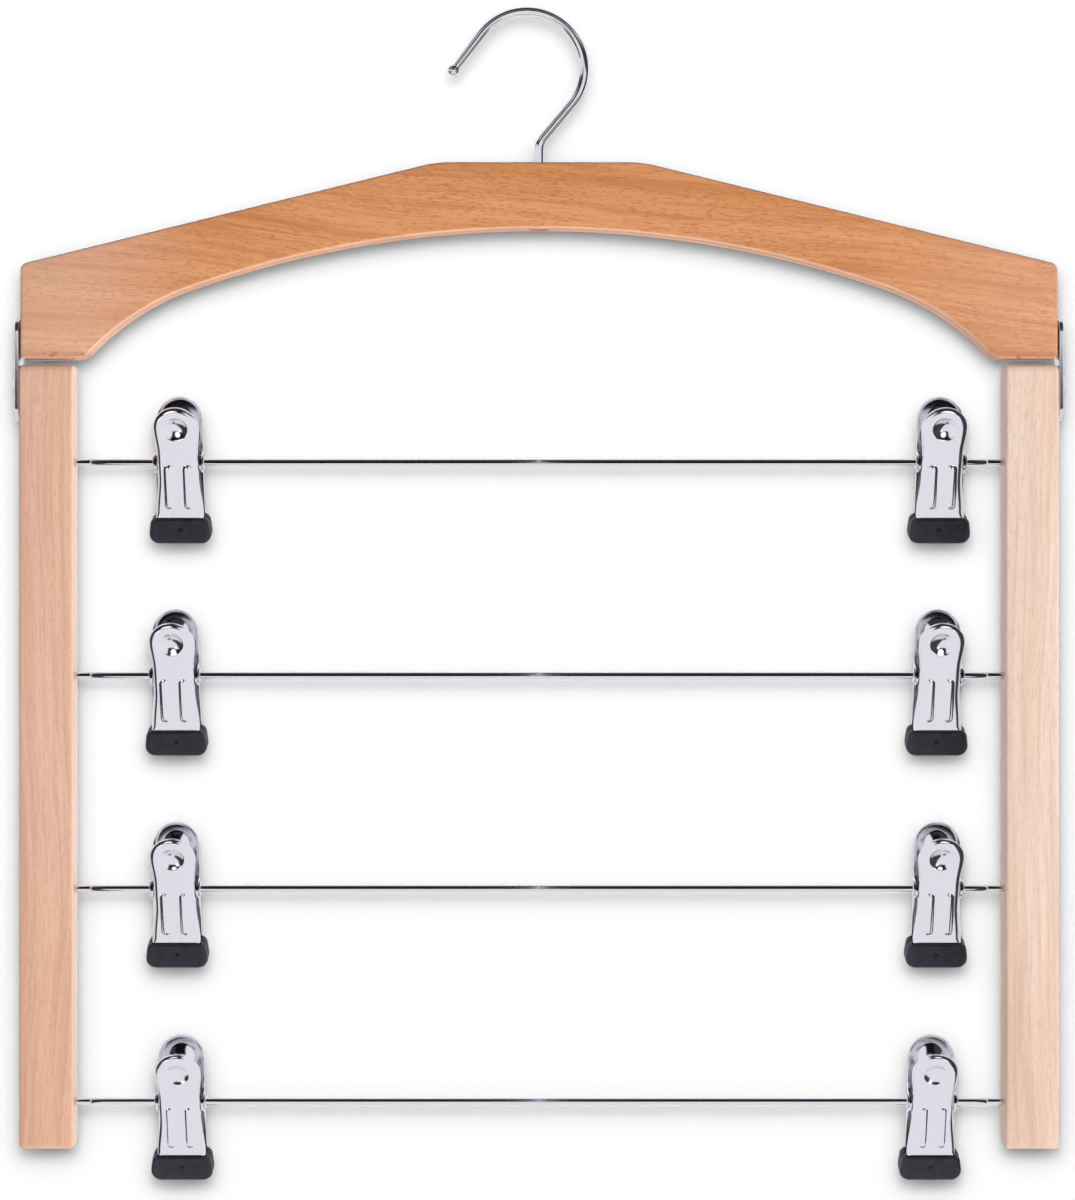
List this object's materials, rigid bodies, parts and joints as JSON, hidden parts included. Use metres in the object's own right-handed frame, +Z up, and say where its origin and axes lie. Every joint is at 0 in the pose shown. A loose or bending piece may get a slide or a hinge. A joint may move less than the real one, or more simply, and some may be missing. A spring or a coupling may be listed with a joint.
{
  "type": "tiered clip hanger",
  "caption": "Wooden arch on a turning wire hook, with a hinged frame of tiered steel rods whose sliding sprung clips hold skirts or trousers.",
  "frame": {"origin": "inside top of the hook, where it rests on a closet rail", "axes": "+Z up, -Y to the front, +X along the rods; the hook's open side faces -X"},
  "size_m": [0.4102, 0.0289, 0.4586],
  "materials": {
    "arch_beech": "satin lacquer",
    "rail_beech": "satin lacquer",
    "chrome": "polished plate",
    "bright_steel": "zinc plated",
    "black_vinyl": "soft dip"
  },
  "bodies": {
    "hook": {"hook": "chrome"},
    "arch": {"arch": "arch_beech", "strap_left": "bright_steel", "strap_right": "bright_steel"},
    "frame": {"rail_left": "rail_beech", "rail_right": "rail_beech", "rod_1": "chrome", "rod_2": "chrome", "rod_3": "chrome", "rod_4": "chrome", "pivot_screw_left": "bright_steel", "pivot_screw_right": "bright_steel"},
    "clip_1_left_tube": {"clip_1_left_pivot_tube": "bright_steel"},
    "clip_1_left_front": {"clip_1_left_front_jaw": "chrome", "clip_1_left_front_pad": "black_vinyl", "clip_1_left_spring": "bright_steel"},
    "clip_1_left_back": {"clip_1_left_back_jaw": "chrome", "clip_1_left_back_pad": "black_vinyl"},
    "clip_1_right_tube": {"clip_1_right_pivot_tube": "bright_steel"},
    "clip_1_right_front": {"clip_1_right_front_jaw": "chrome", "clip_1_right_front_pad": "black_vinyl", "clip_1_right_spring": "bright_steel"},
    "clip_1_right_back": {"clip_1_right_back_jaw": "chrome", "clip_1_right_back_pad": "black_vinyl"},
    "clip_2_left_tube": {"clip_2_left_pivot_tube": "bright_steel"},
    "clip_2_left_front": {"clip_2_left_front_jaw": "chrome", "clip_2_left_front_pad": "black_vinyl", "clip_2_left_spring": "bright_steel"},
    "clip_2_left_back": {"clip_2_left_back_jaw": "chrome", "clip_2_left_back_pad": "black_vinyl"},
    "clip_2_right_tube": {"clip_2_right_pivot_tube": "bright_steel"},
    "clip_2_right_front": {"clip_2_right_front_jaw": "chrome", "clip_2_right_front_pad": "black_vinyl", "clip_2_right_spring": "bright_steel"},
    "clip_2_right_back": {"clip_2_right_back_jaw": "chrome", "clip_2_right_back_pad": "black_vinyl"},
    "clip_3_left_tube": {"clip_3_left_pivot_tube": "bright_steel"},
    "clip_3_left_front": {"clip_3_left_front_jaw": "chrome", "clip_3_left_front_pad": "black_vinyl", "clip_3_left_spring": "bright_steel"},
    "clip_3_left_back": {"clip_3_left_back_jaw": "chrome", "clip_3_left_back_pad": "black_vinyl"},
    "clip_3_right_tube": {"clip_3_right_pivot_tube": "bright_steel"},
    "clip_3_right_front": {"clip_3_right_front_jaw": "chrome", "clip_3_right_front_pad": "black_vinyl", "clip_3_right_spring": "bright_steel"},
    "clip_3_right_back": {"clip_3_right_back_jaw": "chrome", "clip_3_right_back_pad": "black_vinyl"},
    "clip_4_left_tube": {"clip_4_left_pivot_tube": "bright_steel"},
    "clip_4_left_front": {"clip_4_left_front_jaw": "chrome", "clip_4_left_front_pad": "black_vinyl", "clip_4_left_spring": "bright_steel"},
    "clip_4_left_back": {"clip_4_left_back_jaw": "chrome", "clip_4_left_back_pad": "black_vinyl"},
    "clip_4_right_tube": {"clip_4_right_pivot_tube": "bright_steel"},
    "clip_4_right_front": {"clip_4_right_front_jaw": "chrome", "clip_4_right_front_pad": "black_vinyl", "clip_4_right_spring": "bright_steel"},
    "clip_4_right_back": {"clip_4_right_back_jaw": "chrome", "clip_4_right_back_pad": "black_vinyl"}
  },
  "joints": [
    {"name": "hook_swivel", "type": "hinge", "parent": "hook", "child": "arch", "pos_m": [0.0047, 0, -0.07], "axis": [0, 0, 1], "continuous": true},
    {"name": "frame_swing", "type": "hinge", "parent": "arch", "child": "frame", "pos_m": [0.0047, 0, -0.1432], "axis": [1, 0, 0], "range_deg": [-95, 95]},
    {"name": "clip_1_left_slide", "type": "slide", "parent": "frame", "child": "clip_1_left_tube", "axis": [1, 0, 0], "range_m": [-0.0281, 0.1281]},
    {"name": "clip_1_left_swing", "type": "hinge", "parent": "clip_1_left_tube", "child": "clip_1_left_front", "pos_m": [-0.1358, 0, -0.1743], "axis": [1, 0, 0], "continuous": true},
    {"name": "clip_1_left_squeeze", "type": "hinge", "parent": "clip_1_left_front", "child": "clip_1_left_back", "pos_m": [-0.1358, 0, -0.1743], "axis": [1, 0, 0], "range_deg": [0, 30], "stiffness_Nm_per_rad": 0.2, "springref_deg": -40.11, "deforming": ["clip_1_left_spring"]},
    {"name": "clip_1_right_slide", "type": "slide", "parent": "frame", "child": "clip_1_right_tube", "axis": [1, 0, 0], "range_m": [-0.1444, 0.0118]},
    {"name": "clip_1_right_swing", "type": "hinge", "parent": "clip_1_right_tube", "child": "clip_1_right_front", "pos_m": [0.1615, 0, -0.1743], "axis": [1, 0, 0], "continuous": true},
    {"name": "clip_1_right_squeeze", "type": "hinge", "parent": "clip_1_right_front", "child": "clip_1_right_back", "pos_m": [0.1615, 0, -0.1743], "axis": [1, 0, 0], "range_deg": [0, 30], "stiffness_Nm_per_rad": 0.2, "springref_deg": -40.11, "deforming": ["clip_1_right_spring"]},
    {"name": "clip_2_left_slide", "type": "slide", "parent": "frame", "child": "clip_2_left_tube", "axis": [1, 0, 0], "range_m": [-0.0265, 0.1297]},
    {"name": "clip_2_left_swing", "type": "hinge", "parent": "clip_2_left_tube", "child": "clip_2_left_front", "pos_m": [-0.1374, 0, -0.2574], "axis": [1, 0, 0], "continuous": true},
    {"name": "clip_2_left_squeeze", "type": "hinge", "parent": "clip_2_left_front", "child": "clip_2_left_back", "pos_m": [-0.1374, 0, -0.2574], "axis": [1, 0, 0], "range_deg": [0, 30], "stiffness_Nm_per_rad": 0.2, "springref_deg": -40.11, "deforming": ["clip_2_left_spring"]},
    {"name": "clip_2_right_slide", "type": "slide", "parent": "frame", "child": "clip_2_right_tube", "axis": [1, 0, 0], "range_m": [-0.1434, 0.0128]},
    {"name": "clip_2_right_swing", "type": "hinge", "parent": "clip_2_right_tube", "child": "clip_2_right_front", "pos_m": [0.1605, 0, -0.2574], "axis": [1, 0, 0], "continuous": true},
    {"name": "clip_2_right_squeeze", "type": "hinge", "parent": "clip_2_right_front", "child": "clip_2_right_back", "pos_m": [0.1605, 0, -0.2574], "axis": [1, 0, 0], "range_deg": [0, 30], "stiffness_Nm_per_rad": 0.2, "springref_deg": -40.11, "deforming": ["clip_2_right_spring"]},
    {"name": "clip_3_left_slide", "type": "slide", "parent": "frame", "child": "clip_3_left_tube", "axis": [1, 0, 0], "range_m": [-0.0268, 0.1294]},
    {"name": "clip_3_left_swing", "type": "hinge", "parent": "clip_3_left_tube", "child": "clip_3_left_front", "pos_m": [-0.1371, 0, -0.3405], "axis": [1, 0, 0], "continuous": true},
    {"name": "clip_3_left_squeeze", "type": "hinge", "parent": "clip_3_left_front", "child": "clip_3_left_back", "pos_m": [-0.1371, 0, -0.3405], "axis": [1, 0, 0], "range_deg": [0, 30], "stiffness_Nm_per_rad": 0.2, "springref_deg": -40.11, "deforming": ["clip_3_left_spring"]},
    {"name": "clip_3_right_slide", "type": "slide", "parent": "frame", "child": "clip_3_right_tube", "axis": [1, 0, 0], "range_m": [-0.1432, 0.013]},
    {"name": "clip_3_right_swing", "type": "hinge", "parent": "clip_3_right_tube", "child": "clip_3_right_front", "pos_m": [0.1603, 0, -0.3405], "axis": [1, 0, 0], "continuous": true},
    {"name": "clip_3_right_squeeze", "type": "hinge", "parent": "clip_3_right_front", "child": "clip_3_right_back", "pos_m": [0.1603, 0, -0.3405], "axis": [1, 0, 0], "range_deg": [0, 30], "stiffness_Nm_per_rad": 0.2, "springref_deg": -40.11, "deforming": ["clip_3_right_spring"]},
    {"name": "clip_4_left_slide", "type": "slide", "parent": "frame", "child": "clip_4_left_tube", "axis": [1, 0, 0], "range_m": [-0.0288, 0.1274]},
    {"name": "clip_4_left_swing", "type": "hinge", "parent": "clip_4_left_tube", "child": "clip_4_left_front", "pos_m": [-0.1351, 0, -0.4236], "axis": [1, 0, 0], "continuous": true},
    {"name": "clip_4_left_squeeze", "type": "hinge", "parent": "clip_4_left_front", "child": "clip_4_left_back", "pos_m": [-0.1351, 0, -0.4236], "axis": [1, 0, 0], "range_deg": [0, 30], "stiffness_Nm_per_rad": 0.2, "springref_deg": -40.11, "deforming": ["clip_4_left_spring"]},
    {"name": "clip_4_right_slide", "type": "slide", "parent": "frame", "child": "clip_4_right_tube", "axis": [1, 0, 0], "range_m": [-0.1408, 0.0154]},
    {"name": "clip_4_right_swing", "type": "hinge", "parent": "clip_4_right_tube", "child": "clip_4_right_front", "pos_m": [0.1579, 0, -0.4236], "axis": [1, 0, 0], "continuous": true},
    {"name": "clip_4_right_squeeze", "type": "hinge", "parent": "clip_4_right_front", "child": "clip_4_right_back", "pos_m": [0.1579, 0, -0.4236], "axis": [1, 0, 0], "range_deg": [0, 30], "stiffness_Nm_per_rad": 0.2, "springref_deg": -40.11, "deforming": ["clip_4_right_spring"]}
  ]
}
